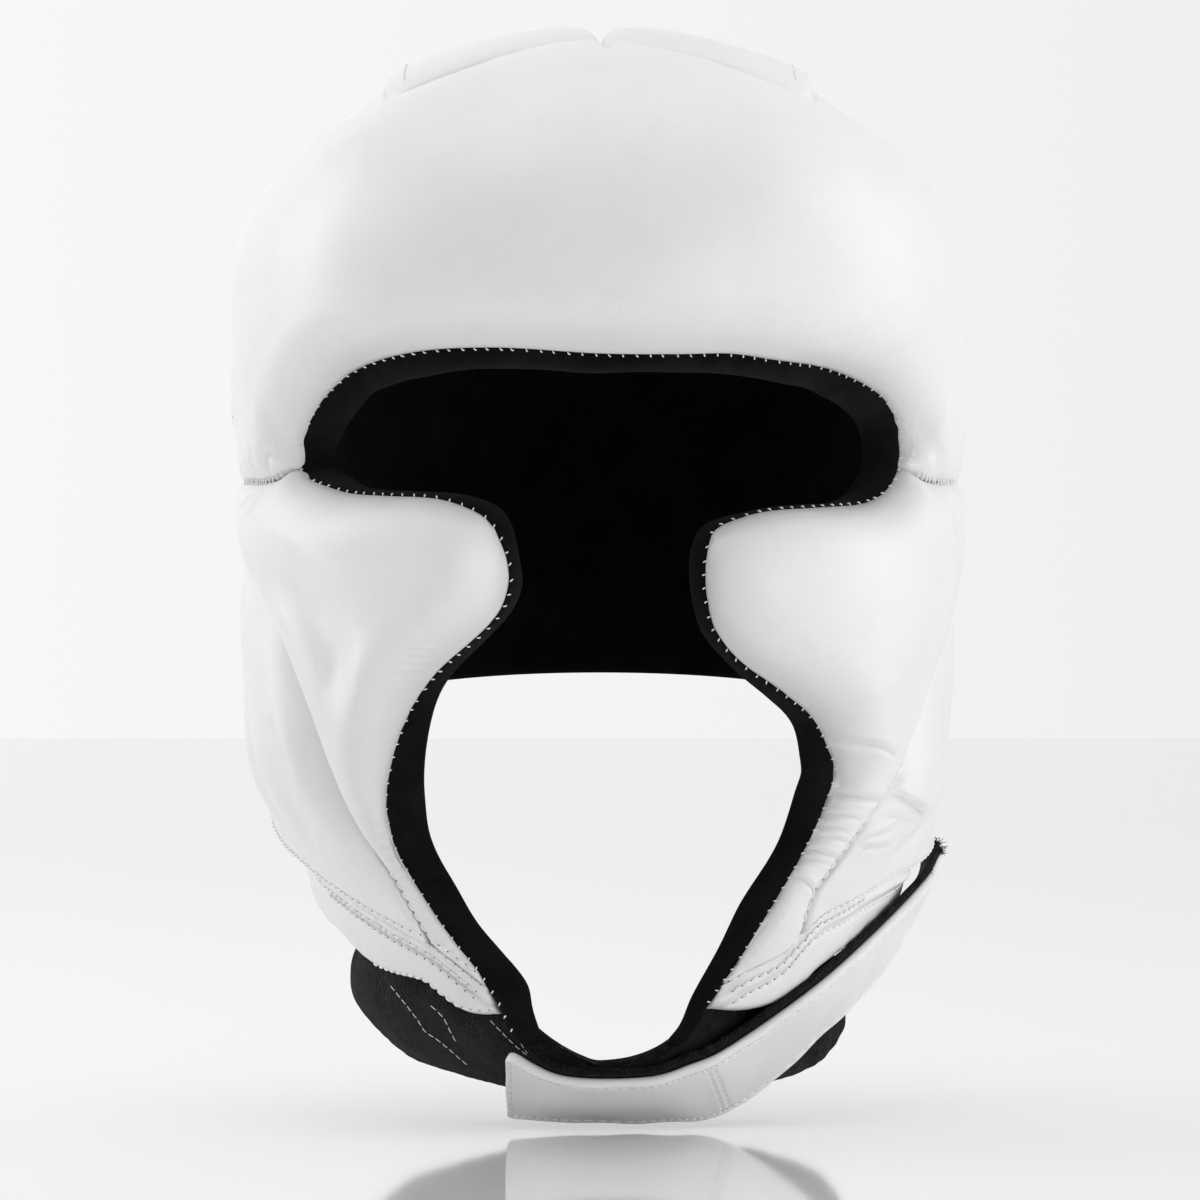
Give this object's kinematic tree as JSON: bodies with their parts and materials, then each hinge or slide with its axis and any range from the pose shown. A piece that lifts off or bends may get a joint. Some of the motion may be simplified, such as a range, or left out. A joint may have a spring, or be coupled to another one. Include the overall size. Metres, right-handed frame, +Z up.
{
  "type": "martial arts headgear",
  "caption": "Padded leather headgear with an open face, cheek pads ending in lobes, a dark suede lining, an under-chin sling, and chin and rear straps.",
  "frame": {"origin": "inside the crown, at the top of the head that the headgear sits on", "axes": "+Z up, the face opening towards -Y, the wearer's left towards +X"},
  "size_m": [0.2013, 0.2414, 0.2963],
  "materials": {
    "white_leather": "smooth satin, soft wrinkles",
    "black_suede": "matte short nap",
    "black_pile": "matte brushed loop pile",
    "black_hook": "dull nylon hooks",
    "white_thread": "twisted thread"
  },
  "bodies": {
    "root": {"forehead_pad": "white_leather", "crown_pad_right": "white_leather", "crown_pad_left": "white_leather", "back_pad": "white_leather", "cheek_pad_right": "white_leather", "cheek_pad_left": "white_leather", "side_panel_right": "white_leather", "side_panel_left": "white_leather", "jaw_flap_right": "white_leather", "jaw_flap_left": "white_leather", "face_roll": "black_suede", "forehead_lining": "black_suede", "crown_lining_right": "black_suede", "crown_lining_left": "black_suede", "back_lining": "black_suede", "cheek_lining_right": "black_suede", "cheek_lining_left": "black_suede", "side_lining_right": "black_suede", "side_lining_left": "black_suede", "chin_sling": "black_pile", "chin_strap": "white_leather", "chin_strap_hook": "black_hook", "rear_strap": "white_leather", "rear_strap_hook": "black_hook"}
  },
  "joints": []
}
